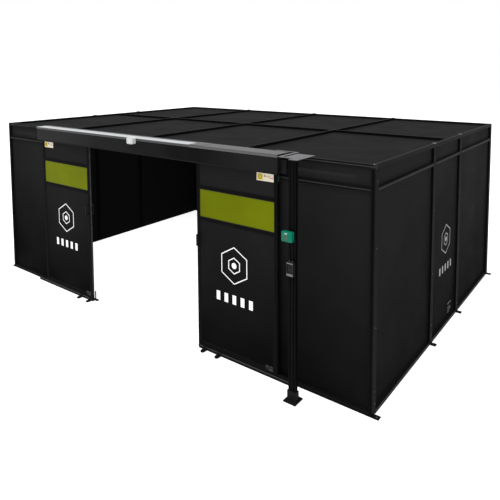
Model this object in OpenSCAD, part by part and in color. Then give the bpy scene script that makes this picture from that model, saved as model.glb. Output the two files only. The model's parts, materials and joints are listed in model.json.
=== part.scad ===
// Walk-in modular cabin that screens laser and arc welding: rigid dark panels in a slim
// metal-profile frame, a panelled roof, two hand-moved sliding doors with filter windows
// and a separate post that carries the door release and the key switch.
// Millimetres, +Z up. X = 0 is the middle of the front, y = 0 in the helpers below is the
// outer face of the front wall, and in_frame() moves everything so that the origin is the
// middle of the outline on the floor.

/* [Cabin] */
// Overall width of the wall frame
cabin_w = 6200; // [6120:20:6400]
// Overall depth of the wall frame
cabin_d = 4160; // [4080:20:4400]
// Overall height of the wall frame
cabin_h = 2320; // [2320:1:2330]
// Side of the square frame profile
profile = 40; // [36:2:40]
// Width of the side posts, seen from the side
side_post_w = 80; // [60:10:100]
// Thickness of the wall panels
panel_t = 12; // [8:1:12]
// How far the wall panels lie behind the frame's outer face
panel_recess = 28; // [10:1:28]
// Underside of the middle rail
middle_rail_z = 2070; // [2040:5:2090]

/* [Roof] */
// Thickness of the roof panels
roof_panel_t = 12; // [8:1:16]
// Depth of the roof panels' top below the frame's top
roof_recess = 28; // [10:1:28]

/* [Doorway] */
// Clear width of the doorway between the jamb posts
doorway_w = 2120; // [2100:10:2140]
// Underside of the lintel rail
lintel_z = 2110; // [2108:1:2120]

/* [Doors] */
// Width of one door, with its edge seal
door_w = 1100; // [1080:5:1110]
// Thickness of a door frame
door_t = 36; // [34:1:36]
// Underside of the doors
door_bottom = 50; // [48:1:56]
// Top of the doors
door_top = 2180; // [2170:1:2184]
// Distance from the middle of the doorway to the middle of an open door
door_open_x = 1535; // [1530:1:1540]
// Travel of each door from open to closed
door_travel = 984; // [970:1:984]
// Underside of the door window
window_z = 1526; // [1486:2:1560]
// Height of the door window
window_h = 313; // [200:1:360]

/* [Track] */
// Length of the track housing above the doorway
header_l = 4250; // [4200:10:4300]
// Depth of the track housing in front of the wall
header_d = 100; // [96:1:110]
// Underside of the track housing
header_z = 2135; // [2130:1:2145]
// Radius of the door wheels
wheel_r = 20; // [16:1:22]
// Distance from a door's middle to each of its hangers
hanger_x = 480; // [460:5:490]

/* [Service post] */
// Distance of the service post from the middle of the cabin
post_x = 2380; // [2360:5:2400]
// Distance of the service post's middle in front of the wall
post_reach = 205; // [200:5:240]
// Side of the square foot plate
foot_plate = 140; // [130:5:150]
// Distance between the foot plate's anchor holes
foot_hole_spacing = 100; // [96:2:104]
// Radius of the anchor holes
anchor_r = 6.5; // [5:0.5:7]

/* [Hidden] */
$fn = 48;

half_w = cabin_w / 2;
// Front edge of the foot plate, which is the foremost point, and the shift to the origin
front_reach = post_reach + foot_plate / 2;
origin_shift = (front_reach - cabin_d) / 2;

// Where the posts stand
side_post_y = [1580, 2570];
back_post_x = [-1540, 0, 1540];
front_post_x = 1540;
jamb_x = doorway_w / 2 + profile / 2;
corner_d = side_post_w;
bracket_t = 8;
bracket_w = 60;
bracket_reach = 62;
// Fine joint between parts of one piece that are bolted or folded together
seam = 0.2;
rail_top = middle_rail_z + profile;
top_rail_z = cabin_h - profile;

// Open stretches between the posts, as [start, end] pairs
function bays(from, to, centres, width) =
    let (edges = concat([from], [for (c = centres) each [c - width / 2, c + width / 2]], [to]))
    [for (i = [0:2:len(edges) - 1]) [edges[i], edges[i + 1]]];
back_bays = bays(-half_w + profile, half_w - profile, back_post_x, profile);
side_bays = bays(corner_d, cabin_d - corner_d, side_post_y, side_post_w);
front_bays = [
    [jamb_x + profile / 2, front_post_x - profile / 2],
    [front_post_x + profile / 2, half_w - profile]];

// Roof grid
roof_seams_x = [-front_post_x, 0, front_post_x];
roof_seams_y = [cabin_d / 2];
roof_bays_x = bays(-half_w + profile, half_w - profile, roof_seams_x, profile);
roof_top = cabin_h - roof_recess;

// T-slot of the frame profile
slot_mouth = 8;
slot_lip = 3;
slot_chamber_w = 18;
slot_chamber_d = 5;

// Door and track
door_gap = 4;
door_y = -door_gap - door_t;
door_mid_y = -door_gap - door_t / 2;
half_door = door_w / 2;
seal_t = 6;
lead_edge = half_door - seal_t;
stile_w = 40;
seal_w = 20;
groove_w = 14;
groove_d = 24;
door_panel_t = 8;
door_panel_recess = 7;
gasket_w = 4;
gasket_t = 4;
window_t = 6;
window_recess = 9;
upper_mid_rail_z = window_z + window_h;
lower_mid_rail_z = window_z - stile_w;
track_w = 44;
track_h = 62;
track_wall = 4;
track_z = 2200;
slot_w = 14;
wheel_w = 9;
wheel_gap = 0.3;
axle_r = 5;
axle_fit = 0.05;
axle_l = 32;
axle_z = track_z + track_wall + wheel_r + wheel_gap;
truck_t = 12;
truck_l = 56;
truck_h = 26;
hanger_bolt_r = 5;
hanger_pad_l = 90;
hanger_pad_t = 6;
hanger_nut_r = 9;
hanger_nut_h = 8;
stop_gap = 3;
stop_l = 20;

// Track housing
sheet = 3;
cover_top = 2330;
cover_lip = 30;
cover_back = 105;
strap_x = [755, 1113];
strap_t = 2;

// Junction box at the housing's right end, without its lid
box_lid_t = 6;
box_low = [header_l / 2 + sheet, -54, 2145];
box_high = box_low + [76, 54, 125];

// Floor guide
guide_l = 1300;
guide_x = 990;
guide_w = 36;
guide_h = 42;
fin_w = 8;
fin_h = 20;
guide_foot_x = [[-1, [1040, 1245]], [1, [1091, 1300]]];
guide_foot_w = 52;
guide_foot_l = 66;
guide_foot_t = 14;

// Service post and its boxes
post_w = 80;
post_d = 40;
post_face = -post_reach - post_d / 2;
plate_t = 10;
socket_h = 90;
socket_wall = [10, 6];
mount_plate_t = 3;
release_z = 1557;
release_size = [118, 40, 96];
release_x = 2346;
release_base_d = 16;
button_at = [-20, -4];
button_size = 46;
button_travel = 3;
switch_z = 1235;
switch_size = [72, 40, 132];
switch_x = 2380;
switch_housing_d = 28;
inset_z = 5;
key_at = [-6, 6];
key_r = 11;

panel_dark = [0.09, 0.09, 0.10];
profile_dark = [0.16, 0.16, 0.17];
fitting_dark = [0.12, 0.12, 0.13];
rubber_black = [0.05, 0.05, 0.05];
cover_grey = [0.78, 0.79, 0.80];
steel_grey = [0.55, 0.56, 0.58];

// ---- Helpers ----

// Moves the plan, whose y = 0 is the wall's front face, to the object's own frame
module in_frame() translate([0, origin_shift, 0]) children();

// Box between two opposite corners
module block(low, high) translate(low) cube(high - low);

module both_sides() {
    children();
    mirror([1, 0, 0]) children();
}

// Section of a profile with T-slots, each given as [angle, offset, distance of its face]
module profile_section(size_x, size_y, slots) {
    difference() {
        square([size_x, size_y], center = true);
        for (s = slots) rotate(s[0]) translate([s[1], -s[2]]) {
            translate([-slot_mouth / 2, -1]) square([slot_mouth, slot_lip + 2]);
            translate([-slot_chamber_w / 2, slot_lip]) square([slot_chamber_w, slot_chamber_d]);
        }
    }
}

module upright(x, y, z0, z1, size_x, size_y, slots = [])
    translate([x, y, z0]) linear_extrude(z1 - z0) profile_section(size_x, size_y, slots);

// The same strip in every bay of the walls, between two heights and two depths
module around_walls(z0, z1, outer, inner) {
    for (b = back_bays) block([b[0], cabin_d - inner, z0], [b[1], cabin_d - outer, z1]);
    both_sides() {
        for (b = side_bays) block([half_w - inner, b[0], z0], [half_w - outer, b[1], z1]);
        for (b = front_bays) block([b[0], outer, z0], [b[1], inner, z1]);
    }
}

// Plate with rounded corners, lying in the XY plane
module rounded_rect(size, r) {
    translate([-size[0] / 2 + r, -size[1] / 2]) square([size[0] - 2 * r, size[1]]);
    translate([-size[0] / 2, -size[1] / 2 + r]) square([size[0], size[1] - 2 * r]);
    for (x = [-1, 1], y = [-1, 1])
        translate([x * (size[0] / 2 - r), y * (size[1] / 2 - r)]) circle(r);
}

// Box with rounded corners seen from the front; centre of its back face at the origin
module front_box(size, r)
    rotate([90, 0, 0]) linear_extrude(size[1]) rounded_rect([size[0], size[2]], r);

// ---- Wall frame ----

module corner_posts() in_frame() color(profile_dark)
    both_sides() {
        upright(half_w - profile / 2, corner_d / 2, bracket_t, top_rail_z,
            profile, corner_d, [[0, 0, corner_d / 2]]);
        upright(half_w - profile / 2, cabin_d - corner_d / 2, bracket_t, top_rail_z,
            profile, corner_d, [[180, 0, corner_d / 2]]);
    }

module wall_posts() in_frame() color(profile_dark) {
    for (x = back_post_x)
        upright(x, cabin_d - profile / 2, 0, top_rail_z, profile, profile);
    both_sides() {
        upright(front_post_x, profile / 2, 0, top_rail_z, profile, profile);
        for (y = side_post_y)
            upright(half_w - profile / 2, y, bracket_t, top_rail_z, profile, side_post_w);
    }
}

module jamb_posts() in_frame() color(profile_dark) both_sides()
    upright(jamb_x, profile / 2, bracket_t, top_rail_z, profile, profile);

module bottom_rails() in_frame() color(profile_dark)
    difference() {
        around_walls(0, profile, 0, profile);
        translate([0, 0, profile / 2]) rotate([90, 0, 90])
            linear_extrude(cabin_w, center = true) rotate(-90) {
                translate([-slot_mouth / 2, -1]) square([slot_mouth, slot_lip + 2]);
                translate([-slot_chamber_w / 2, slot_lip])
                    square([slot_chamber_w, slot_chamber_d]);
            }
    }

module middle_rails() in_frame() color(profile_dark) {
    around_walls(middle_rail_z, rail_top, 0, profile);
    block([-doorway_w / 2, 0, lintel_z], [doorway_w / 2, profile, lintel_z + profile]);
}

module top_rails() in_frame() color(profile_dark) {
    for (y = [0, cabin_d - profile])
        block([-half_w + profile, y, top_rail_z], [half_w - profile, y + profile, cabin_h]);
    both_sides()
        block([half_w - profile, profile, top_rail_z], [half_w, cabin_d - profile, cabin_h]);
}

module lower_wall_panels() in_frame() color(panel_dark)
    around_walls(profile, middle_rail_z, panel_recess, panel_recess + panel_t);

module upper_wall_panels() in_frame() color(panel_dark) {
    around_walls(rail_top, top_rail_z, panel_recess, panel_recess + panel_t);
    block([-doorway_w / 2, panel_recess, lintel_z + profile],
        [doorway_w / 2, panel_recess + panel_t, top_rail_z]);
}

// ---- Roof ----

module roof_beams() in_frame() color(profile_dark)
    for (x = roof_seams_x)
        block([x - profile / 2, profile, top_rail_z],
            [x + profile / 2, cabin_d - profile, cabin_h]);

module roof_purlins() in_frame() color(profile_dark)
    for (y = roof_seams_y, b = roof_bays_x)
        block([b[0], y - profile / 2, top_rail_z], [b[1], y + profile / 2, cabin_h]);

module roof_panels() in_frame() color(panel_dark)
    for (b = roof_bays_x, c = bays(profile, cabin_d - profile, roof_seams_y, profile))
        block([b[0], c[0], roof_top - roof_panel_t], [b[1], c[1], roof_top]);

// ---- Frame fittings ----

module corner_connectors() in_frame() color(steel_grey)
    both_sides()
        for (y = [0, cabin_d - profile])
            block([half_w - profile, y, top_rail_z], [half_w, y + profile, cabin_h]);

module frame_screws() in_frame() color(steel_grey) {
    screw_r = 5;
    screw_h = 2.5;
    hex_r = 2.6;
    corner_inset = 50;
    screw_heights = [115, 225, 827, 1562, 2170];
    both_sides()
        for (y = concat([corner_inset], side_post_y, [cabin_d - corner_inset]),
            z = screw_heights)
            translate([half_w, y, z]) rotate([0, 90, 0]) difference() {
                cylinder(r = screw_r, h = screw_h, $fn = 24);
                translate([0, 0, 1]) cylinder(r = hex_r, h = screw_h, $fn = 6);
            }
}

module post_top_caps() in_frame() color(cover_grey) {
    cap_l = 60;
    cap_w = 33;
    cap_h = 8;
    both_sides()
        for (y = side_post_y)
            translate([half_w - cap_w, y - cap_l / 2, cabin_h]) cube([cap_w, cap_l, cap_h]);
    for (x = back_post_x)
        translate([x - cap_l / 2, cabin_d - cap_w, cabin_h]) cube([cap_l, cap_w, cap_h]);
}

// Foot plates under the corner, side and jamb posts, reaching past the frame
module foot(x0, x1, y0, y1, hole_x)
    difference() {
        block([x0, y0, 0], [x1, y1, bracket_t]);
        translate([hole_x, (y0 + y1) / 2, -1]) cylinder(r = anchor_r, h = bracket_t + 2);
    }

module floor_brackets() in_frame() color(fitting_dark) {
    jamb_reach = 115;
    both_sides() {
        for (y = concat([bracket_w / 2], side_post_y, [cabin_d - bracket_w / 2]))
            foot(half_w - profile, half_w + bracket_reach, y - bracket_w / 2,
                y + bracket_w / 2, half_w + bracket_reach / 2);
        foot(jamb_x - profile / 2 - jamb_reach, jamb_x + profile / 2, 0, profile,
            jamb_x - profile / 2 - jamb_reach + profile / 2);
    }
}

// ---- Door track and its housing ----

module track_channel() in_frame() color(steel_grey) {
    end_x = header_l / 2 - sheet;
    side_y = track_w / 2 - track_wall;
    translate([0, door_mid_y, track_z]) {
        block([-end_x, -track_w / 2, track_h - track_wall], [end_x, track_w / 2, track_h]);
        for (s = [0, 1]) mirror([0, s, 0]) {
            block([-end_x, side_y, 0], [end_x, track_w / 2, track_h - track_wall - seam]);
            block([-end_x, slot_w / 2, 0], [end_x, side_y - seam, track_wall]);
        }
    }
}

module track_brackets() in_frame() color(fitting_dark) {
    arm_t = 4;
    arm_w = 60;
    for (x = [-2000:1000:2000]) {
        block([x - arm_w / 2, door_mid_y - track_w / 2, track_z + track_h],
            [x + arm_w / 2, 0, track_z + track_h + arm_t]);
        block([x - arm_w / 2, -arm_t, track_z + track_h + arm_t + seam],
            [x + arm_w / 2, 0, cabin_h - arm_t]);
    }
}

module header_fascia() in_frame() color(panel_dark) {
    fascia_y = -header_d + sheet;
    block([-header_l / 2, fascia_y, header_z], [header_l / 2, fascia_y + sheet, cover_top - sheet]);
}

// Top sheet, its front lip and the low rear lip that stands on the roof beams
module header_cover() in_frame() color(cover_grey) {
    lip_top = cover_top - sheet - seam;
    block([-header_l / 2, -header_d, cover_top - sheet], [header_l / 2, cover_back, cover_top]);
    block([-header_l / 2, -header_d, cover_top - cover_lip],
        [header_l / 2, -header_d + sheet, lip_top]);
    block([-header_l / 2, cover_back - sheet, cabin_h], [header_l / 2, cover_back, lip_top]);
}

module cover_joint_strap() in_frame() color([0.88, 0.88, 0.89])
    block([strap_x[0], -header_d, cover_top], [strap_x[1], cover_back, cover_top + strap_t]);

module header_end_plates() in_frame() color(fitting_dark) both_sides()
    block([header_l / 2, -header_d, header_z], [header_l / 2 + sheet, 0, cover_top]);

// Rubber buffers in the track: one at each end and one in the middle
module stop(x0, x1) {
    inset = track_wall + 2;
    block([x0, door_mid_y - track_w / 2 + inset, track_z + track_wall],
        [x1, door_mid_y + track_w / 2 - inset, track_z + track_h - inset]);
}

module track_stops() in_frame() color(rubber_black) {
    open_edge = door_open_x + hanger_x + truck_l / 2 + stop_gap;
    closed_edge = door_open_x - hanger_x - truck_l / 2 - door_travel - stop_gap;
    both_sides() stop(open_edge, open_edge + stop_l);
    stop(-closed_edge, closed_edge);
}

module indicator_housing() in_frame() color([0.93, 0.93, 0.93]) {
    size = [112, 50, 84];
    middle_z = 2303;
    translate([0, -header_d, middle_z]) front_box(size, 22);
}

module junction_box() in_frame() color(fitting_dark) {
    wall = 3;
    difference() {
        block(box_low, box_high);
        block(box_low + [wall, -1, wall], box_high - [wall, wall, wall]);
    }
}

module junction_box_lid() in_frame() color([0.18, 0.18, 0.19])
    block(box_low - [0, box_lid_t, 0], [box_high[0], box_low[1], box_high[2]]);

// ---- Floor guide ----

module floor_guide_rails() in_frame() color(profile_dark) both_sides()
    translate([guide_x + guide_l / 2, door_mid_y, 0]) rotate([90, 0, 90])
        linear_extrude(guide_l, center = true) {
            translate([-guide_w / 2, 0]) square([guide_w, guide_h]);
            translate([-fin_w / 2, guide_h + seam]) square([fin_w, fin_h - seam]);
        }

// Floor feet of the guide rails, and the fixed guide behind each door's edge
module guide_rail_feet() in_frame() color(fitting_dark) {
    rail_front = door_mid_y - guide_w / 2;
    guide_plate = [10, 14, 124];
    guide_plate_gap = 2;
    guide_upright_h = 22;
    upright_t = 6;
    tab_l = guide_foot_l - guide_foot_w / 2;
    for (side = guide_foot_x, x = side[1]) translate([side[0] * x, rail_front, 0]) {
        difference() {
            union() {
                translate([-guide_foot_w / 2, -tab_l, 0])
                    cube([guide_foot_w, tab_l, guide_foot_t]);
                translate([0, -tab_l, 0]) cylinder(d = guide_foot_w, h = guide_foot_t);
            }
            translate([0, -tab_l, -1]) cylinder(r = anchor_r, h = guide_foot_t + 2);
        }
        translate([-guide_foot_w / 2, -upright_t, guide_foot_t + seam])
            cube([guide_foot_w, upright_t, guide_upright_h]);
    }
    both_sides()
        translate([guide_x - guide_plate[0], guide_plate_gap, bracket_t]) cube(guide_plate);
}

// ---- Service post ----

module service_post() in_frame() color(profile_dark)
    upright(post_x, -post_reach, plate_t, cabin_h, post_w, post_d, [
        for (a = [0, 180], dx = [-post_w / 4, post_w / 4]) [a, dx, post_d / 2],
        for (a = [90, 270]) [a, 0, post_w / 2]]);

module post_base_socket() in_frame() color(fitting_dark)
    translate([post_x, -post_reach, plate_t]) linear_extrude(socket_h) difference() {
        square([post_w + 2 * socket_wall[0], post_d + 2 * socket_wall[1]], center = true);
        square([post_w, post_d], center = true);
    }

module post_foot_plate() in_frame() color(fitting_dark)
    translate([post_x, -post_reach, 0]) difference() {
        linear_extrude(plate_t) rounded_rect([foot_plate, foot_plate], 6);
        for (x = [-1, 1], y = [-1, 1])
            translate([x * foot_hole_spacing / 2, y * foot_hole_spacing / 2, -1])
                cylinder(r = anchor_r, h = plate_t + 2);
    }

// Flat tie that holds the post's head to the cabin's top rail
module post_top_plate() in_frame() color(fitting_dark) {
    tie_t = 6;
    right = 2435;
    front = -160;
    // Each part as [left, front, right, back]: plate, post's seat, side strap, rear strap, bridge
    parts = [[2240, front, right, 95], [2338, -228, right, front], [2170, front, 2205, 172],
        [1935, 150, 2170, 172], [2205, front, 2240, -125]];
    for (p = parts) block([p[0], p[1], cabin_h], [p[2], p[3], cabin_h + tie_t]);
}

module box_mounting_plates() in_frame() color(steel_grey) {
    translate([release_x, post_face, release_z + release_size[2] / 2])
        front_box([release_size[0] - 20, mount_plate_t, release_size[2] - 20], 4);
    translate([switch_x, post_face, switch_z + switch_size[2] / 2])
        front_box([switch_size[0] - 12, mount_plate_t, switch_size[2] - 24], 4);
}

// Emergency door release: back half, cover with the panel's opening, and the push panel
module release_box_base() in_frame() color([0.0, 0.36, 0.26])
    translate([release_x, post_face - mount_plate_t, release_z + release_size[2] / 2])
        front_box([release_size[0], release_base_d, release_size[2]], 10);

module release_box_cover() in_frame() color([0.0, 0.55, 0.40]) {
    cover_d = release_size[1] - mount_plate_t - release_base_d;
    opening = button_size + 1;
    translate([release_x, post_face - mount_plate_t - release_base_d,
        release_z + release_size[2] / 2])
        difference() {
            front_box([release_size[0], cover_d, release_size[2]], 10);
            translate([button_at[0], 1, button_at[1]])
                front_box([opening, cover_d + 2, opening], 3);
        }
}

module release_button() in_frame() color([0.75, 0.68, 0.66]) {
    button_d = 15;
    rear_gap = button_travel + 0.5;
    translate([release_x + button_at[0],
        post_face - mount_plate_t - release_base_d - rear_gap,
        release_z + release_size[2] / 2 + button_at[1]])
        front_box([button_size, button_d, button_size], 3);
}

// Key switch box: back half, light frame round a dark inset, and the turning key barrel
module switch_box_housing() in_frame() color(fitting_dark) {
    bore_from = 10;
    key_fit = 0.05;
    translate([switch_x, post_face - mount_plate_t, switch_z + switch_size[2] / 2])
        difference() {
            front_box([switch_size[0], switch_housing_d, switch_size[2]], 4);
            translate([key_at[0], -bore_from, key_at[1]]) rotate([90, 0, 0])
                cylinder(r = key_r + key_fit, h = switch_housing_d);
        }
}

module switch_box_frame() in_frame() color([0.62, 0.63, 0.64]) {
    frame_d = switch_size[1] - mount_plate_t - switch_housing_d;
    inset = [switch_size[0] - 12, switch_size[2] - 44];
    translate([switch_x, post_face - mount_plate_t - switch_housing_d,
        switch_z + switch_size[2] / 2])
        difference() {
            front_box([switch_size[0], frame_d, switch_size[2]], 4);
            translate([0, 1, inset_z]) front_box([inset[0], frame_d + 2, inset[1]], 3);
        }
}

module key_switch() in_frame() color([0.70, 0.70, 0.72]) {
    barrel_from = 10.5;
    barrel_l = 21;
    grip = [5, 8, 18];
    translate([switch_x + key_at[0], post_face - mount_plate_t - barrel_from,
        switch_z + switch_size[2] / 2 + key_at[1]]) {
        rotate([90, 0, 0]) cylinder(r = key_r, h = barrel_l);
        translate([-grip[0] / 2, -barrel_l - grip[1], -grip[2] / 2]) cube(grip);
    }
}

module cable_glands() in_frame() color(rubber_black) {
    nut_r = 8;
    nut_h = 7;
    spread = 16;
    for (x = [-spread, spread])
        translate([switch_x + x, post_face - mount_plate_t - switch_housing_d / 2,
            switch_z + switch_size[2]]) {
            cylinder(r = nut_r, h = nut_h, $fn = 6);
            translate([0, 0, nut_h + seam]) cylinder(r = nut_r - 2, h = nut_h);
        }
}

// ---- Doors: drawn once as the left door, with its middle at x = 0 ----

module door_at(side) in_frame() {
    if (side < 0) translate([-door_open_x, 0, 0]) children();
    else mirror([1, 0, 0]) translate([-door_open_x, 0, 0]) children();
}

// A board of the door from one stile to the other
module across_door(z0, z1, recess, thickness)
    block([-half_door + stile_w, door_y + recess, z0],
        [lead_edge - stile_w, door_y + recess + thickness, z1]);

// Stiles and rails, and a bottom rail whose two lower strips leave the guide's groove
module door_frame() color(profile_dark) {
    groove_top = door_bottom + groove_d;
    rail_ends = [-half_door + stile_w + seam, lead_edge - stile_w - seam];
    for (x = [-half_door, lead_edge - stile_w])
        block([x, door_y, door_bottom + stile_w + seam], [x + stile_w, door_y + door_t, door_top]);
    for (z = [lower_mid_rail_z, upper_mid_rail_z, door_top - stile_w])
        block([rail_ends[0], door_y, z], [rail_ends[1], door_y + door_t, z + stile_w]);
    block([-half_door, door_y, groove_top], [lead_edge, door_y + door_t, door_bottom + stile_w]);
    for (y = [door_y, door_mid_y + groove_w / 2])
        block([-half_door, y, door_bottom],
            [lead_edge, y + (door_t - groove_w) / 2, groove_top - seam]);
}

module door_panels() color(panel_dark) {
    across_door(door_bottom + stile_w, lower_mid_rail_z, door_panel_recess, door_panel_t);
    across_door(upper_mid_rail_z + stile_w, door_top - stile_w, door_panel_recess, door_panel_t);
}

module door_window() color([0.45, 0.48, 0.05])
    across_door(window_z, upper_mid_rail_z, window_recess, window_t);

module window_gasket() color(rubber_black) {
    front = window_recess - gasket_t;
    difference() {
        across_door(window_z, upper_mid_rail_z, front, gasket_t);
        block([-half_door + stile_w + gasket_w, door_y + front - 1, window_z + gasket_w],
            [lead_edge - stile_w - gasket_w, door_y + window_recess + 1,
                upper_mid_rail_z - gasket_w]);
    }
}

// Bridge pulls on both faces of the leading stile
module bridge_pull() {
    bar_w = 20;
    bar_t = 12;
    reach = 44;
    foot_h = 16;
    length = 130;
    for (z = [0, length - foot_h])
        translate([-bar_w / 2, -reach + bar_t, z]) cube([bar_w, reach - bar_t, foot_h]);
    translate([-bar_w / 2, -reach, 0]) cube([bar_w, bar_t, length]);
}

module door_handles() color(fitting_dark) {
    handle_z = 1200;
    translate([half_door - stile_w, door_y, handle_z]) bridge_pull();
    translate([half_door - stile_w, door_y + door_t, handle_z])
        mirror([0, 1, 0]) bridge_pull();
}

// Pad on the door's top, bolt through the track's slot, and truck between the wheels
module door_hangers() color(steel_grey)
    for (x = [-hanger_x, hanger_x]) translate([x, door_mid_y, 0]) difference() {
        union() {
            translate([-hanger_pad_l / 2, -door_t / 2 + 4, door_top])
                cube([hanger_pad_l, door_t - 8, hanger_pad_t]);
            translate([0, 0, door_top + hanger_pad_t])
                cylinder(r = hanger_nut_r, h = hanger_nut_h, $fn = 6);
            translate([0, 0, door_top]) cylinder(r = hanger_bolt_r, h = axle_z - door_top - 8);
            translate([-truck_l / 2, -truck_t / 2, axle_z - truck_h / 2])
                cube([truck_l, truck_t, truck_h]);
        }
        translate([0, 0, axle_z]) rotate([90, 0, 0])
            cylinder(r = axle_r + axle_fit, h = truck_t + 2, center = true);
    }

// Two wheels on one axle
module wheelset() color(steel_grey) rotate([90, 0, 0]) {
    cylinder(r = axle_r, h = axle_l, center = true);
    for (s = [-1, 1]) translate([0, 0, s * (axle_l - wheel_w) / 2]) difference() {
        cylinder(r = wheel_r, h = wheel_w, center = true);
        translate([0, 0, s * wheel_w / 2]) rotate_extrude()
            translate([axle_r + 3, -1.5]) square([wheel_r - axle_r - 7, 3]);
    }
}

module wheelset_at(x) translate([x, door_mid_y, axle_z]) wheelset();

// Notice plate near the trailing edge and small data plate at the lower right corner
module door_plates(data_x) color([0.90, 0.86, 0.70]) {
    notice = [218, 80];
    notice_low = [-508, 2035];
    data = [104, 60];
    data_z = 69;
    plate = 1;
    face = door_y + door_panel_recess;
    block([notice_low[0], face - plate, notice_low[1]],
        [notice_low[0] + notice[0], face, notice_low[1] + notice[1]]);
    color([0.10, 0.10, 0.10])
        block([data_x - data[0] / 2, door_y - plate, data_z],
            [data_x + data[0] / 2, door_y, data_z + data[1]]);
}

module edge_seal() color(rubber_black)
    block([lead_edge, door_mid_y - seal_w / 2, door_bottom + groove_d],
        [half_door, door_mid_y + seal_w / 2, door_top]);

module left_door_frame() door_at(-1) door_frame();
module left_door_panels() door_at(-1) door_panels();
module left_door_window() door_at(-1) door_window();
module left_window_gasket() door_at(-1) window_gasket();
module left_door_handles() door_at(-1) door_handles();
module left_door_hangers() door_at(-1) door_hangers();
module left_wheelset_a() door_at(-1) wheelset_at(-hanger_x);
module left_wheelset_b() door_at(-1) wheelset_at(hanger_x);
module left_door_plates() door_at(-1) door_plates(470);
module left_edge_seal() door_at(-1) edge_seal();

module right_door_frame() door_at(1) door_frame();
module right_door_panels() door_at(1) door_panels();
module right_door_window() door_at(1) door_window();
module right_window_gasket() door_at(1) window_gasket();
module right_door_handles() door_at(1) door_handles();
module right_door_hangers() door_at(1) door_hangers();
module right_wheelset_a() door_at(1) wheelset_at(-hanger_x);
module right_wheelset_b() door_at(1) wheelset_at(hanger_x);
module right_door_plates() door_at(1) door_plates(-450);
module right_edge_seal() door_at(1) edge_seal();

// Coded tag of the door switch, on the right door's trailing edge
module door_position_sensor() door_at(1) color([0.05, 0.20, 0.12])
    block([-half_door - 12, door_mid_y - 12, 2050], [-half_door, door_mid_y + 12, 2110]);

corner_posts();
wall_posts();
jamb_posts();
bottom_rails();
middle_rails();
top_rails();
lower_wall_panels();
upper_wall_panels();
roof_beams();
roof_purlins();
roof_panels();
corner_connectors();
frame_screws();
post_top_caps();
floor_brackets();
track_channel();
track_brackets();
header_fascia();
header_cover();
cover_joint_strap();
header_end_plates();
track_stops();
floor_guide_rails();
guide_rail_feet();
indicator_housing();
junction_box();
junction_box_lid();
service_post();
post_base_socket();
post_foot_plate();
post_top_plate();
release_box_base();
release_box_cover();
switch_box_housing();
switch_box_frame();
cable_glands();
box_mounting_plates();
release_button();
key_switch();
left_door_frame();
left_door_panels();
left_door_window();
left_window_gasket();
left_door_handles();
left_door_hangers();
left_wheelset_a();
left_wheelset_b();
left_door_plates();
left_edge_seal();
right_door_frame();
right_door_panels();
right_door_window();
right_window_gasket();
right_door_handles();
right_door_hangers();
right_wheelset_a();
right_wheelset_b();
right_door_plates();
right_edge_seal();
door_position_sensor();
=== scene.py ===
"""Looks for the walk-in welding safety cabin: materials, lights, camera and the detailed pieces
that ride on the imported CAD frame. Metres, in the CAD model's own frame."""

import json
import math

import bmesh
import bpy
from mathutils import Euler, Matrix, Vector


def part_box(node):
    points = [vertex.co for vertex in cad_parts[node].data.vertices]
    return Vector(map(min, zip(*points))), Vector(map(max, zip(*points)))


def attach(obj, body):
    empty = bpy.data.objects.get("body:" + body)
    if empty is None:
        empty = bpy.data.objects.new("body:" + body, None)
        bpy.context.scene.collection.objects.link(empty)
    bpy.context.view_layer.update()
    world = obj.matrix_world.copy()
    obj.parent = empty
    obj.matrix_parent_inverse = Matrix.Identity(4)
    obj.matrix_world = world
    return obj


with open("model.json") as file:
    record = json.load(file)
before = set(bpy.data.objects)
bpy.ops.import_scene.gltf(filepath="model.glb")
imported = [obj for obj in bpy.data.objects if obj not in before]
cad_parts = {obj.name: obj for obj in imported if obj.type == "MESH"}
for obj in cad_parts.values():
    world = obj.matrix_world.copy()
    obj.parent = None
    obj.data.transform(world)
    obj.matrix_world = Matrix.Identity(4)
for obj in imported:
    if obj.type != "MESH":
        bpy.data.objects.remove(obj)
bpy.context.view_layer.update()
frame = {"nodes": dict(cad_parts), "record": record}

# ---- Places, taken from the frame ----

NODE_SLOT = {s["node"]: s["material_slot"] for s in frame["record"]["subparts"]}
FRONT_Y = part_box("top_rails")[0].y
HALF_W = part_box("top_rails")[1].x
TOP_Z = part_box("top_rails")[1].z
MIDDLE_Y = (FRONT_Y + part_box("top_rails")[1].y) / 2
HALF_D = MIDDLE_Y - FRONT_Y


def solids(node):
    """(lowest, highest) corner of every separate solid of a CAD node, left to right and up."""
    mesh = frame["nodes"][node].data
    home = {}
    for v in mesh.vertices:
        home.setdefault(tuple(round(c, 5) for c in v.co), len(home))
    ids = [home[tuple(round(c, 5) for c in v.co)] for v in mesh.vertices]
    parent = list(range(len(home)))

    def root(i):
        while parent[i] != i:
            parent[i] = parent[parent[i]]
            i = parent[i]
        return i

    for p in mesh.polygons:
        first = root(ids[p.vertices[0]])
        for k in p.vertices[1:]:
            parent[root(ids[k])] = first
    groups = {}
    for place, i in home.items():
        groups.setdefault(root(i), []).append(place)
    boxes = []
    for points in groups.values():
        low = Vector(min(p[a] for p in points) for a in range(3))
        high = Vector(max(p[a] for p in points) for a in range(3))
        boxes.append((low, high))
    return sorted(boxes, key=lambda b: tuple(round(c, 4) for c in b[0]))


# ---- Materials ----


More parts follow.
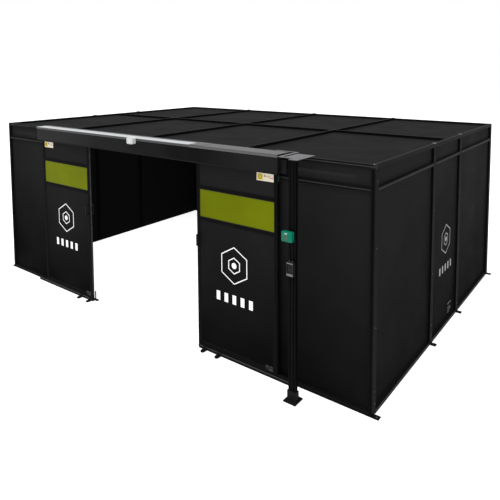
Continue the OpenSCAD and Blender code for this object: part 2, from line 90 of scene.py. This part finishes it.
class Shader:
    """A node material built round one Principled shader, in object space and metres."""

    def __init__(self, name, colour, roughness, metallic=0.0, specular=0.5):
        self.material = bpy.data.materials.new(name)
        self.material.use_nodes = True
        self.tree = self.material.node_tree
        self.shader = self.tree.nodes["Principled BSDF"]
        self.colour = colour
        self.roughness = roughness
        self.set("Base Color", (*colour, 1.0))
        self.set("Roughness", roughness)
        self.set("Metallic", metallic)
        self.set("Specular IOR Level", specular)
        coords = self.tree.nodes.new("ShaderNodeTexCoord")
        self.place = coords.outputs["Object"]
        self.height = None

    def set(self, socket, value):
        self.shader.inputs[socket].default_value = value

    def link(self, a, b):
        self.tree.links.new(a, b)

    def stretched(self, scale):
        mapping = self.tree.nodes.new("ShaderNodeMapping")
        mapping.inputs["Scale"].default_value = scale
        self.link(self.place, mapping.inputs["Vector"])
        return mapping.outputs["Vector"]

    def noise(self, scale, detail=3.0, rough=0.5, stretch=None):
        node = self.tree.nodes.new("ShaderNodeTexNoise")
        node.inputs["Scale"].default_value = scale
        node.inputs["Detail"].default_value = detail
        node.inputs["Roughness"].default_value = rough
        self.link(self.stretched(stretch) if stretch else self.place, node.inputs["Vector"])
        return node.outputs["Fac"]

    def ramp(self, value, low, high, out_low=0.0, out_high=1.0):
        node = self.tree.nodes.new("ShaderNodeMapRange")
        for socket, number in zip(
            ("From Min", "From Max", "To Min", "To Max"), (low, high, out_low, out_high)
        ):
            node.inputs[socket].default_value = number
        self.link(value, node.inputs["Value"])
        return node.outputs["Result"]

    def mix(self, fac, a, b):
        node = self.tree.nodes.new("ShaderNodeMix")
        node.data_type = "RGBA"
        self.link(fac, node.inputs["Factor"])
        for socket, value in ((6, a), (7, b)):
            if isinstance(value, (tuple, list)):
                node.inputs[socket].default_value = (*value, 1.0)
            else:
                self.link(value, node.inputs[socket])
        return node.outputs[2]

    def times(self, a, b):
        node = self.tree.nodes.new("ShaderNodeMath")
        node.operation = "MULTIPLY"
        self.link(a, node.inputs[0])
        if isinstance(b, float):
            node.inputs[1].default_value = b
        else:
            self.link(b, node.inputs[1])
        return node.outputs["Value"]

    def compare(self, value, limit, softness=0.0005):
        """1 where the value is below the limit, 0 above it."""
        return self.ramp(value, limit - softness, limit + softness, 1.0, 0.0)

    def axis(self, name):
        parts = self.tree.nodes.new("ShaderNodeSeparateXYZ")
        self.link(self.place, parts.inputs["Vector"])
        return parts.outputs[name]

    def distance(self, value, middle):
        """How far a coordinate is from a middle value, either way."""
        away = self.tree.nodes.new("ShaderNodeMath")
        away.operation = "SUBTRACT"
        away.inputs[1].default_value = middle
        self.link(value, away.inputs[0])
        size = self.tree.nodes.new("ShaderNodeMath")
        size.operation = "ABSOLUTE"
        self.link(away.outputs["Value"], size.inputs[0])
        return size.outputs["Value"]

    def inner_side(self, depth):
        """1 on the faces of the cabin's inside, deeper than depth behind its outer faces."""
        in_x = self.compare(self.distance(self.axis("X"), 0.0), HALF_W - depth)
        in_y = self.compare(self.distance(self.axis("Y"), MIDDLE_Y), HALF_D - depth)
        below = self.compare(self.axis("Z"), TOP_Z - ROOF_DEPTH)
        return self.times(self.times(in_x, in_y), below)

    def add_height(self, value, depth):
        """Adds a bump of the given depth, in metres."""
        bump = self.tree.nodes.new("ShaderNodeBump")
        bump.inputs["Strength"].default_value = 1.0
        bump.inputs["Distance"].default_value = depth
        self.link(value, bump.inputs["Height"])
        if self.height is not None:
            self.link(self.height, bump.inputs["Normal"])
        self.height = bump.outputs["Normal"]
        self.link(self.height, self.shader.inputs["Normal"])

    def vary_colour(self, fac, tint):
        self.link(self.mix(fac, self.colour, tint), self.shader.inputs["Base Color"])

    def vary_roughness(self, fac, spread):
        low, high = self.roughness - spread, self.roughness + spread
        self.link(self.ramp(fac, 0.3, 0.7, low, high), self.shader.inputs["Roughness"])


# Depth behind the outer faces past which a panel or a profile counts as inside and takes the painted
# shade of the cabin's inside, the depth below the rails' top that still belongs to the roof, and the
# roof's tone beside the walls', a painted shade that holds the roof back under the light from above
INSIDE_DEPTH = 0.034
PROFILE_DEPTH = 0.0395
ROOF_DEPTH = 0.034
ROOF_PAINTED_SHADE = 0.75
# Where the header cover's tone changes along its length, the front edge of its dark rear strip of
# painted shade, and the height above the rails' top past which it is the top sheet and not a lip
JOINT_X = 0.935
REAR_STRIP_Y = FRONT_Y + 0.04
LIP_RISE = 0.007


def shade(colour, k):
    return tuple(c * k for c in colour)


def powder_coat(name, colour, roughness, specular, foot=1.0, inside=None, right_end=1.0):
    """Coated sheet: fine orange peel, a broad painted sheen, painted shade deepening towards its
    foot, optionally a tone darkening towards its right end, and, when an inside factor is given,
    painted shade on the cabin's inside and on the roof."""
    s = Shader(name, colour, roughness, specular=specular)
    # Painted shade: the sheet darkens towards its foot, down to the foot factor at the bottom
    foot_shade_fade = s.ramp(s.axis("Z"), 0.2, TOP_Z - 0.05)
    tone = s.mix(foot_shade_fade, shade(colour, foot), colour)
    if right_end != 1.0:
        tone = s.mix(s.ramp(s.axis("X"), -2.1, 0.6), tone, shade(colour, right_end))
    # Painted sheen: broad lighter patches in the colour
    painted_sheen = s.ramp(s.noise(0.9, 4.0), 0.3, 0.7, 0.0, 0.3)
    tone = s.mix(painted_sheen, tone, shade(colour, 1.6))
    # Painted shade: inside faces darkened to the inside factor
    if inside is not None:
        tone = s.mix(s.inner_side(INSIDE_DEPTH), tone, shade(colour, inside))
        # Painted shade: the roof darkened against the light from above
        roof = s.ramp(s.axis("Z"), TOP_Z - ROOF_DEPTH, TOP_Z - ROOF_DEPTH + 0.001)
        tone = s.mix(roof, tone, shade(colour, ROOF_PAINTED_SHADE))
    s.link(tone, s.shader.inputs["Base Color"])
    s.vary_roughness(s.noise(2.2, 5.0, 0.6), 0.07)
    s.add_height(s.noise(420.0, 2.0), 0.00006)
    return s.material


def extrusion(name, colour, roughness, specular, inside=None):
    """Anodised profile: faint drawing lines along every direction and cloudy wear."""
    s = Shader(name, colour, roughness, specular=specular)
    lines = s.times(
        s.noise(60.0, 2.0, stretch=(1.0, 9.0, 1.0)), s.noise(60.0, 2.0, stretch=(9.0, 1.0, 1.0)))
    cloud = s.ramp(s.noise(5.0, 5.0, 0.6), 0.35, 0.7)
    tone = s.mix(cloud, colour, shade(colour, 1.4))
    # Painted shade: the profiles' inside faces darkened to the inside factor
    if inside is not None:
        tone = s.mix(s.inner_side(PROFILE_DEPTH), tone, shade(colour, inside))
    s.link(tone, s.shader.inputs["Base Color"])
    s.vary_roughness(lines, 0.08)
    s.add_height(s.noise(300.0, 2.0), 0.00003)
    return s.material


def dark_profile(name, tone, specular, inside=None):
    """A profile darker than its slot's, faintly blue like the rest."""
    return extrusion(name, (tone, tone, tone + 0.0002), 0.6, specular, inside)


def brushed(name, colour, roughness, metallic, specular=0.5):
    s = Shader(name, colour, roughness, metallic=metallic, specular=specular)
    grain = s.noise(22.0, 4.0, 0.7, stretch=(1.0, 40.0, 40.0))
    s.vary_colour(s.ramp(grain, 0.3, 0.7), shade(colour, 0.86))
    s.vary_roughness(grain, 0.08)
    s.add_height(grain, 0.00004)
    return s.material


def cover_metal(name):
    """Coated cover sheet in two tones, paler left of the joint and greyer right of it; the pale left
    part also carries a painted reflection, its dark rear strip is painted shade, and the folded lips
    are toned apart from the top sheet, darker by painted shade left of the joint."""
    s = Shader(name, (0.40, 0.41, 0.42), 0.5, specular=0.2)
    grain = s.noise(22.0, 4.0, 0.7, stretch=(1.0, 40.0, 40.0))
    # Two tones either side of the joint, the paler left one partly a painted reflection
    right_of_joint = s.ramp(s.axis("X"), JOINT_X - 0.005, JOINT_X + 0.005)
    # Dark rear strip of the top sheet: painted shade behind the pale front band
    rear = s.ramp(s.axis("Y"), REAR_STRIP_Y - 0.001, REAR_STRIP_Y + 0.001)
    pale = s.mix(rear, (0.34, 0.35, 0.36), (0.02, 0.02, 0.021))
    top = s.mix(right_of_joint, pale, (0.058, 0.058, 0.060))
    # Lips darker than the pale top left of the joint: painted shade on the front-facing fold
    lip = s.mix(right_of_joint, (0.045, 0.045, 0.047), (0.075, 0.075, 0.078))
    above = s.ramp(s.axis("Z"), TOP_Z + LIP_RISE - 0.0005, TOP_Z + LIP_RISE + 0.0005)
    worn = s.mix(s.ramp(grain, 0.3, 0.7), (1.0, 1.0, 1.0), (0.86, 0.86, 0.86))
    tint = s.tree.nodes.new("ShaderNodeMix")
    tint.data_type = "RGBA"
    tint.blend_type = "MULTIPLY"
    tint.inputs["Factor"].default_value = 1.0
    s.link(s.mix(above, lip, top), tint.inputs[6])
    s.link(worn, tint.inputs[7])
    s.link(tint.outputs[2], s.shader.inputs["Base Color"])
    s.vary_roughness(grain, 0.08)
    s.add_height(grain, 0.00003)
    return s.material


def moulded(name, colour, roughness, specular=0.5):
    """Moulded plastic: very fine spark-eroded grain and slight colour drift."""
    s = Shader(name, colour, roughness, specular=specular)
    s.vary_colour(s.ramp(s.noise(14.0, 4.0), 0.3, 0.7), shade(colour, 0.88))
    s.vary_roughness(s.noise(40.0, 3.0), 0.05)
    s.add_height(s.noise(1500.0, 1.0), 0.00004)
    return s.material


def rubber(name):
    s = Shader(name, (0.012, 0.012, 0.012), 0.75, specular=0.25)
    s.vary_colour(s.ramp(s.noise(30.0, 5.0), 0.4, 0.75), (0.028, 0.028, 0.027))
    s.add_height(s.noise(700.0, 2.0), 0.00008)
    return s.material


def filter_sheet(name):
    """Laser filter sheet: saturated yellow-green, uneven with the dark room behind it."""
    colour = (0.118, 0.142, 0.0014)
    s = Shader(name, colour, 0.3, specular=0.015)
    s.vary_colour(s.ramp(s.noise(1.1, 2.0), 0.35, 0.75), shade(colour, 0.72))
    s.vary_roughness(s.noise(9.0, 4.0), 0.04)
    return s.material


def paint(name, colour, roughness=0.5):
    """Screen-printed ink and foil: flat colour with slight wear."""
    s = Shader(name, colour, roughness, specular=0.3)
    s.vary_colour(s.ramp(s.noise(35.0, 6.0, 0.7), 0.45, 0.8), shade(colour, 0.85))
    s.vary_roughness(s.noise(18.0, 3.0), 0.06)
    return s.material


MATERIALS = {
    # Foot and inside factors below are painted shade: 0.08 and 0.22 for panels, 0.15 for profiles
    "panel_black": powder_coat("panel_black", (0.0112, 0.0112, 0.0115), 0.65, 0.006, 0.08, 0.22),
    "profile_black": extrusion("profile_black", (0.0050, 0.0050, 0.0053), 0.55, 0.02, 0.15),
    "fitting_black": powder_coat("fitting_black", (0.0065, 0.0065, 0.0068), 0.6, 0.04),
    "light_metal": cover_metal("light_metal"),
    "steel": brushed("steel", (0.42, 0.42, 0.43), 0.38, 0.9),
    "wheel_nylon": moulded("wheel_nylon", (0.70, 0.70, 0.66), 0.5),
    "rubber": rubber("rubber"),
    "filter_window": filter_sheet("filter_window"),
    "green_plastic": moulded("green_plastic", (0.0, 0.135, 0.078), 0.5, 0.08),
    "pale_plastic": moulded("pale_plastic", (0.72, 0.72, 0.71), 0.4),
    "grey_plastic": moulded("grey_plastic", (0.085, 0.087, 0.09), 0.5, 0.3),
    "dark_plastic": moulded("dark_plastic", (0.014, 0.014, 0.015), 0.5),
    "notice_plate": paint("notice_plate", (0.60, 0.55, 0.44)),
}
# Pieces that differ from the rest of their slot
NODE_MATERIAL = {
    # The last number of each dark profile is the painted shade of its inside faces
    "wall_posts": dark_profile("wall_post_black", 0.0030, 0.010, 0.2),
    "corner_posts": dark_profile("corner_post_black", 0.0034, 0.012, 0.2),
    "service_post": dark_profile("service_post_black", 0.0030, 0.012),
    "left_door_frame": dark_profile("left_frame_black", 0.0032, 0.010),
    "right_door_frame": dark_profile("right_frame_black", 0.0032, 0.010),
    "top_rails": dark_profile("top_rail_black", 0.0040, 0.014, 0.2),
    "middle_rails": dark_profile("middle_rail_black", 0.0038, 0.012, 0.2),
    "roof_beams": dark_profile("beam_black", 0.0030, 0.010, 0.2),
    "roof_purlins": dark_profile("purlin_black", 0.0030, 0.010, 0.2),
    "indicator_housing": moulded("indicator_grey", (0.44, 0.44, 0.44), 0.45),
    "switch_box_housing": moulded("switch_dark", (0.010, 0.010, 0.0105), 0.5, 0.1),
    "switch_box_frame": moulded("switch_frame", (0.016, 0.016, 0.017), 0.5, 0.1),
    "frame_screws": brushed("screw_black", (0.09, 0.09, 0.09), 0.45, 0.6),
    # Junction box and lid darker than the dark plastic: a black box plus painted shade matching the
    # shade beside the door header
    "junction_box_lid": moulded("lid_black", (0.0035, 0.0035, 0.0038), 0.6, 0.1),
    "junction_box": moulded("box_black", (0.0035, 0.0035, 0.0038), 0.6, 0.1),
    "door_position_sensor": moulded("sensor_green", (0.003, 0.016, 0.01), 0.5, 0.2),
    "key_switch": brushed("key_steel", (0.02, 0.02, 0.02), 0.5, 0.2, 0.2),
    "release_button": moulded("button_grey", (0.16, 0.20, 0.18), 0.5, 0.3),
    "header_fascia": powder_coat(
        "fascia_black", (0.0200, 0.0200, 0.0205), 0.6, 0.01, right_end=0.16),
}
PAINTED_HIGHLIGHT_GREY = paint("painted_highlight_grey", (0.016, 0.016, 0.017), 0.6)
GASKET_BLACK = moulded("gasket_black", (0.0085, 0.0085, 0.0088), 0.7, 0.04)
WHITE_INK = paint("white_ink", (0.78, 0.78, 0.78))
YELLOW_INK = paint("yellow_ink", (0.52, 0.38, 0.03))
RED_INK = paint("red_ink", (0.42, 0.05, 0.02))
DARK_INK = paint("dark_ink", (0.02, 0.02, 0.02))
DIM_INK = paint("dim_ink", (0.22, 0.22, 0.22))
DARK_FOIL = paint("dark_foil", (0.035, 0.035, 0.036), 0.4)
GREY_FOIL = paint("grey_foil", (0.105, 0.105, 0.108), 0.4)
PALE_GREEN_INK = paint("pale_green_ink", (0.30, 0.42, 0.36), 0.45)
GREEN_GREY_INK = paint("green_grey_ink", (0.022, 0.07, 0.05), 0.45)

# ---- Mesh building ----


def add_box(bm, low, high):
    low, high = Vector(low), Vector(high)
    made = bmesh.ops.create_cube(bm, size=1.0)["verts"]
    size, middle = high - low, (low + high) / 2
    for v in made:
        v.co = Vector(v.co[a] * size[a] + middle[a] for a in range(3))
    return made


def add_prism(bm, outline, place, depth):
    """Extrudes a flat outline of (u, v) points; place maps (u, v, d) to the frame."""
    back = [bm.verts.new(place(u, v, 0.0)) for u, v in outline]
    front = [bm.verts.new(place(u, v, depth)) for u, v in outline]
    count = len(outline)
    bm.faces.new(front)
    bm.faces.new(back[::-1])
    for i in range(count):
        j = (i + 1) % count
        bm.faces.new((back[i], back[j], front[j], front[i]))


def add_ring(bm, outer, inner, place, depth):
    """A flat ring between two outlines with the same number of points."""
    count = len(outer)
    loops = [
        [bm.verts.new(place(u, v, d)) for u, v in line]
        for line, d in ((outer, 0.0), (outer, depth), (inner, depth), (inner, 0.0))
    ]
    for i in range(count):
        j = (i + 1) % count
        for a, b in zip(loops, loops[1:] + loops[:1]):
            bm.faces.new((a[i], a[j], b[j], b[i]))


def piece(bm, name, material, body, bevel=0.0):
    """Makes an object of the mesh, riding on a body of the frame and standing in a material slot."""
    bmesh.ops.recalc_face_normals(bm, faces=bm.faces)
    if bevel:
        edges = [e for e in bm.edges if e.calc_face_angle(0.0) > math.radians(30)]
        bmesh.ops.bevel(
            bm, geom=edges, offset=bevel, segments=2, profile=0.5, affect="EDGES",
            clamp_overlap=True)
    mesh = bpy.data.meshes.new(name)
    bm.to_mesh(mesh)
    bm.free()
    mesh.materials.append(material)
    obj = bpy.data.objects.new(name, mesh)
    bpy.context.scene.collection.objects.link(obj)
    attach(obj, body)
    return obj


def on_face(origin, across, up, out):
    """Maps (u, v, d) to a point on a face: u along across, v along up, d along out."""
    origin, across, up, out = (Vector(v) for v in (origin, across, up, out))
    return lambda u, v, d: origin + across * u + up * v + out * d


def rect(u0, v0, u1, v1):
    return [(u0, v0), (u1, v0), (u1, v1), (u0, v1)]


def round_rect(u0, v0, u1, v1, r, steps=5):
    points = []
    corners = ((u1 - r, v1 - r), (u0 + r, v1 - r), (u0 + r, v0 + r), (u1 - r, v0 + r))
    for (cu, cv), start in zip(corners, (0, 90, 180, 270)):
        for k in range(steps + 1):
            a = math.radians(start + 90 * k / steps)
            points.append((cu + r * math.cos(a), cv + r * math.sin(a)))
    return points


def polygon(count, r, turn=0.0):
    angles = [math.radians(turn + 360 * i / count) for i in range(count)]
    return [(r * math.cos(a), r * math.sin(a)) for a in angles]


# ---- CAD nodes: materials and softened edges ----

EDGE_RADIUS = {
    "frame": (0.0016, [
        "corner_posts", "wall_posts", "jamb_posts", "bottom_rails", "middle_rails", "top_rails",
        "left_door_frame", "right_door_frame", "service_post", "floor_guide_rails"]),
    "fittings": (0.0010, [
        "corner_connectors", "post_top_caps", "floor_brackets", "header_fascia", "header_cover",
        "cover_joint_strap", "header_end_plates", "guide_rail_feet", "post_base_socket",
        "post_foot_plate", "post_top_plate", "junction_box", "junction_box_lid",
        "left_door_handles", "right_door_handles", "roof_panels"]),
}


def dress_cad_nodes():
    for name, obj in frame["nodes"].items():
        obj.data.materials.clear()
        obj.data.materials.append(NODE_MATERIAL.get(name, MATERIALS[NODE_SLOT[name]]))
    for width, names in EDGE_RADIUS.values():
        for name in names:
            obj = frame["nodes"][name]
            weld = obj.modifiers.new("weld", "WELD")
            weld.merge_threshold = 0.00002
            soft = obj.modifiers.new("edges", "BEVEL")
            soft.width = width
            soft.segments = 2
            soft.limit_method = "ANGLE"
            soft.angle_limit = math.radians(40)
            soft.harden_normals = True


# ---- Camera, light and floor ----

CAMERA_PLACE = (4.983, -6.122, 3.161)
CAMERA_PITCH = -4.56
CAMERA_YAW = 36.35
CAMERA_ROLL = -0.15
FOCAL_PER_WIDTH = 1.0424
CAMERA_SHIFT = (-0.030, -0.280)


def make_camera():
    data = bpy.data.cameras.new("camera")
    data.sensor_width = 36.0
    data.lens = FOCAL_PER_WIDTH * data.sensor_width
    data.shift_x, data.shift_y = CAMERA_SHIFT
    data.clip_start, data.clip_end = 0.05, 200.0
    camera = bpy.data.objects.new("camera", data)
    bpy.context.scene.collection.objects.link(camera)
    turn = Euler((math.radians(90 + CAMERA_PITCH), 0.0, math.radians(CAMERA_YAW)), "XYZ")
    roll = Matrix.Rotation(math.radians(CAMERA_ROLL), 4, "Z")
    camera.matrix_world = Matrix.Translation(CAMERA_PLACE) @ turn.to_matrix().to_4x4() @ roll
    bpy.context.scene.camera = camera


def make_floor():
    bm = bmesh.new()
    bmesh.ops.create_grid(bm, x_segments=8, y_segments=8, size=40.0)
    mesh = bpy.data.meshes.new("floor")
    bm.to_mesh(mesh)
    bm.free()
    s = Shader("floor_paint", (0.62, 0.62, 0.62), 0.8, specular=0.1)
    s.vary_colour(s.ramp(s.noise(0.4, 2.0), 0.3, 0.7), (0.61, 0.61, 0.61))
    s.set("Emission Color", (1.0, 1.0, 1.0, 1.0))
    s.set("Emission Strength", 0.74)
    mesh.materials.append(s.material)
    floor = bpy.data.objects.new("floor", mesh)
    floor.location.z = -0.0005
    bpy.context.scene.collection.objects.link(floor)


def area_light(name, place, target, size, power):
    data = bpy.data.lights.new(name, "AREA")
    data.shape = "RECTANGLE"
    data.size, data.size_y = size
    data.energy = power
    light = bpy.data.objects.new(name, data)
    light.location = place
    light.rotation_euler = (Vector(target) - Vector(place)).to_track_quat("-Z", "Y").to_euler()
    bpy.context.scene.collection.objects.link(light)


def make_light():
    world = bpy.data.worlds.new("studio")
    world.use_nodes = True
    world.node_tree.nodes["Background"].inputs["Color"].default_value = (1.0, 1.0, 1.0, 1.0)
    world.node_tree.nodes["Background"].inputs["Strength"].default_value = 1.0
    bpy.context.scene.world = world
    bpy.context.scene.view_settings.view_transform = "Standard"
    area_light("key", (0.0, -3.0, 14.0), (0, 0, 0.0), (16.0, 16.0), 2200.0)
    area_light("inside", (0, 0, 2.2), (0, 0, 0), (5.8, 3.9), 110.0)


# ---- Detail pieces ----

# How far a printed shape or a thin strip stands proud of its face
DECAL = 0.0006


def plain_mark(name, place, body, ink, r, bar_h, bars_w):
    """Plain hexagon outline with a disc in it, and a row of plain bars below."""
    bm = bmesh.new()
    line = 0.012
    for size in (r, r * 0.45):
        add_ring(bm, polygon(6, size, 30), polygon(6, size - line, 30), place, DECAL)
    add_prism(bm, polygon(24, r * 0.16), place, DECAL)
    count, gap = 5, 0.062
    width = (bars_w - gap * (count - 1)) / count
    for k in range(count):
        u = -bars_w / 2 + k * (width + gap)
        v = -r - 0.17 - bar_h / 2
        add_prism(bm, rect(u, v, u + width, v + bar_h), place, DECAL)
    piece(bm, name, ink, body)


def door_marks():
    for side in ("left", "right"):
        low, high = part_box(f"{side}_door_panels")
        middle = (low.x + high.x) / 2 - 0.02
        place = on_face((middle, low.y, 1.067), (1, 0, 0), (0, 0, 1), (0, -1, 0))
        plain_mark(f"{side}_door_mark", place, f"{side}_door", WHITE_INK, 0.205, 0.10, 0.50)


def wall_mark():
    """The same mark on the right wall, and the bars of a small plate below it."""
    face = HALF_W - (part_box("lower_wall_panels")[0].y - FRONT_Y)
    place = on_face((face, FRONT_Y + 2.14, 1.08), (0, 1, 0), (0, 0, 1), (1, 0, 0))
    plain_mark("wall_mark", place, "root", DIM_INK, 0.185, 0.09, 0.45)
    bm = bmesh.new()
    place = on_face((face, FRONT_Y + 2.27, 0.10), (0, 1, 0), (0, 0, 1), (1, 0, 0))
    for v, width in ((0.10, 0.13), (0.05, 0.09), (0.02, 0.13), (-0.01, 0.06)):
        add_prism(bm, rect(0, v, width, v + 0.012), place, DECAL)
    piece(bm, "wall_plate_bars", DARK_FOIL, "root")


def plate_faces():
    """Plain printed shapes on the notice and data plates of both doors."""
    for side in ("left", "right"):
        body = f"{side}_door"
        plates = solids(f"{side}_door_plates")
        notice = max(plates, key=lambda b: b[0].z)
        data = min(plates, key=lambda b: b[0].z)
        place = on_face((notice[0].x, notice[0].y, notice[0].z), (1, 0, 0), (0, 0, 1), (0, -1, 0))
        w, h = notice[1].x - notice[0].x, notice[1].z - notice[0].z
        bm = bmesh.new()
        add_prism(bm, round_rect(0.008, 0.008, 0.078, h - 0.006, 0.006), place, DECAL)
        piece(bm, f"{side}_notice_yellow", YELLOW_INK, body)
        bm = bmesh.new()
        add_prism(bm, rect(0.096, h * 0.60, w - 0.05, h * 0.66), place, DECAL)
        add_prism(bm, rect(0.16, h * 0.44, w - 0.012, h * 0.52), place, DECAL)
        piece(bm, f"{side}_notice_red", RED_INK, body)
        bm = bmesh.new()
        centre = on_face((notice[0].x + 0.043, notice[0].y - DECAL, notice[0].z + h / 2),
                         (1, 0, 0), (0, 0, 1), (0, -1, 0))
        add_ring(bm, polygon(20, 0.022), polygon(20, 0.016), centre, DECAL)
        add_prism(bm, rect(0.092, h * 0.58, 0.106, h * 0.74), place, DECAL)
        piece(bm, f"{side}_notice_dark", DARK_INK, body)
        bm = bmesh.new()
        add_box(bm, (data[0].x - DECAL, data[0].y - DECAL, data[0].z - DECAL),
                (data[1].x + DECAL, data[0].y, data[1].z + DECAL))
        piece(bm, f"{side}_data_face", MATERIALS["fitting_black"], body)
        place = on_face((data[0].x, data[0].y - DECAL, data[0].z), (1, 0, 0), (0, 0, 1), (0, -1, 0))
        bm = bmesh.new()
        for v, u0, u1 in ((0.044, 0.01, 0.05), (0.044, 0.058, 0.094), (0.03, 0.01, 0.03),
                          (0.022, 0.04, 0.094), (0.01, 0.05, 0.094)):
            add_prism(bm, rect(u0, v, u1, v + 0.006), place, DECAL)
        piece(bm, f"{side}_data_bars", DARK_FOIL, body)


def guide_rail_highlight_strips():
    """A paler strip high on the front of the floor guide rails: a painted highlight along their lit
    top edge.
    """
    bm = bmesh.new()
    for low, high in solids("floor_guide_rails"):
        if low.z < 0.001:
            add_box(bm, (low.x, low.y - DECAL, low.z + 0.029), (high.x, low.y, low.z + 0.040))
    piece(bm, "guide_rail_highlight_strips", PAINTED_HIGHLIGHT_GREY, "root")


def slot_shade_strips():
    """Dark strips in the T-slots of the rails' outer faces: partly cover strips, partly painted
    shade standing in for the shade deep in the slots.
    """
    bm = bmesh.new()
    half = 0.004
    for node in ("bottom_rails", "middle_rails", "top_rails"):
        for low, high in solids(node):
            z = (low.z + high.z) / 2
            if high.y - low.y > high.x - low.x:
                out = 1 if low.x > 0 else -1
                x = (high.x if out > 0 else low.x)
                add_box(bm, (min(x, x + out * DECAL), low.y, z - half),
                        (max(x, x + out * DECAL), high.y, z + half))
            elif node != "bottom_rails" or low.y > 0:
                out = 1 if low.y > 0 else -1
                y = (high.y if out > 0 else low.y)
                add_box(bm, (low.x, min(y, y + out * DECAL), z - half),
                        (high.x, max(y, y + out * DECAL), z + half))
    piece(bm, "rail_slot_strips", MATERIALS["rubber"], "root")


def panel_gaskets():
    """Rubber glazing strips round the outer face of every wall and door panel."""
    width, deep = 0.007, 0.003
    groups = (("lower_wall_panels", "root"), ("upper_wall_panels", "root"),
              ("left_door_panels", "left_door"), ("right_door_panels", "right_door"))
    for node, body in groups:
        bm = bmesh.new()
        for low, high in solids(node):
            size = high - low
            if size.y > size.x:
                out = 1 if low.x > 0 else -1
                x = high.x if out > 0 else low.x
                place = on_face((x, low.y, low.z), (0, 1, 0), (0, 0, 1), (out, 0, 0))
                span = size.y
            else:
                out = 1 if low.y > 0 else -1
                y = high.y if out > 0 else low.y
                place = on_face((low.x, y, low.z), (1, 0, 0), (0, 0, 1), (0, out, 0))
                span = size.x
            add_ring(bm, rect(0, 0, span, size.z),
                     rect(width, width, span - width, size.z - width), place, deep)
        piece(bm, node + "_gasket", GASKET_BLACK, body)


def roof_strips():
    """Dark weather strips along the tops of the roof's beams and purlins."""
    bm = bmesh.new()
    for low, high in solids("roof_beams"):
        front = low.y + 0.07
        add_box(bm, (low.x, front, high.z), (high.x, high.y, high.z + 0.003))
    for low, high in solids("roof_purlins"):
        add_box(bm, (low.x, low.y, high.z), (high.x, high.y, high.z + 0.003))
    piece(bm, "roof_strips", NODE_MATERIAL["roof_beams"], "root", 0.001)


def header_details():
    """Folded hem under the fascia, and the ring round the indicator's lens."""
    low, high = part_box("header_fascia")
    bm = bmesh.new()
    add_box(bm, (low.x, low.y - 0.002, low.z), (high.x, low.y, low.z + 0.014))
    piece(bm, "fascia_hem", MATERIALS["fitting_black"], "root", 0.0008)
    low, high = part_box("indicator_housing")
    place = on_face(((low.x + high.x) / 2, low.y, (low.z + high.z) / 2),
                    (1, 0, 0), (0, 0, 1), (0, -1, 0))
    bm = bmesh.new()
    add_ring(bm, polygon(32, 0.018), polygon(32, 0.015), place, 0.001)
    piece(bm, "indicator_ring", MATERIALS["pale_plastic"], "root")


def box_details():
    """Plain printed shapes on the release box and bands on the switch box."""
    low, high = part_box("release_box_cover")
    front = on_face((low.x, low.y, low.z), (1, 0, 0), (0, 0, 1), (0, -1, 0))
    h = high.z - low.z
    bm = bmesh.new()
    add_prism(bm, rect(0.034, h - 0.024, 0.066, h - 0.014), front, DECAL)
    piece(bm, "release_cover_bar", PALE_GREEN_INK, "root")
    bm = bmesh.new()
    add_prism(bm, rect(0.014, 0.012, 0.084, 0.018), front, DECAL)
    piece(bm, "release_cover_line", GREEN_GREY_INK, "root")
    low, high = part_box("release_button")
    face = on_face((low.x, low.y, low.z), (1, 0, 0), (0, 0, 1), (0, -1, 0))
    bm = bmesh.new()
    add_prism(bm, round_rect(0.003, 0.003, high.x - low.x - 0.003, high.z - low.z - 0.003, 0.003),
              face, DECAL)
    piece(bm, "release_button_face", GREEN_GREY_INK, "release_push")
    low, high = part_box("switch_box_frame")
    front = on_face((low.x, low.y, low.z), (1, 0, 0), (0, 0, 1), (0, -1, 0))
    w, h = high.x - low.x, high.z - low.z
    bm = bmesh.new()
    add_prism(bm, round_rect(0.002, 0.003, w - 0.002, 0.025, 0.002), front, DECAL)
    add_prism(bm, round_rect(0.002, h - 0.014, w - 0.002, h - 0.003, 0.002), front, DECAL)
    piece(bm, "switch_box_bands", GREY_FOIL, "root")


def corner_screws():
    """Socket screw heads in the tops of the corner connectors."""
    bm = bmesh.new()
    for low, high in solids("corner_connectors"):
        place = on_face(((low.x + high.x) / 2, (low.y + high.y) / 2, high.z),
                        (1, 0, 0), (0, 1, 0), (0, 0, 1))
        add_ring(bm, polygon(20, 0.008), polygon(20, 0.0045), place, 0.003)
        add_prism(bm, polygon(20, 0.0046), place, 0.001)
    piece(bm, "corner_screws", MATERIALS["steel"], "root", 0.0005)


def add_details():
    door_marks()
    wall_mark()
    plate_faces()
    guide_rail_highlight_strips()
    slot_shade_strips()
    panel_gaskets()
    roof_strips()
    header_details()
    box_details()
    corner_screws()


dress_cad_nodes()
add_details()
make_camera()
make_floor()
make_light()
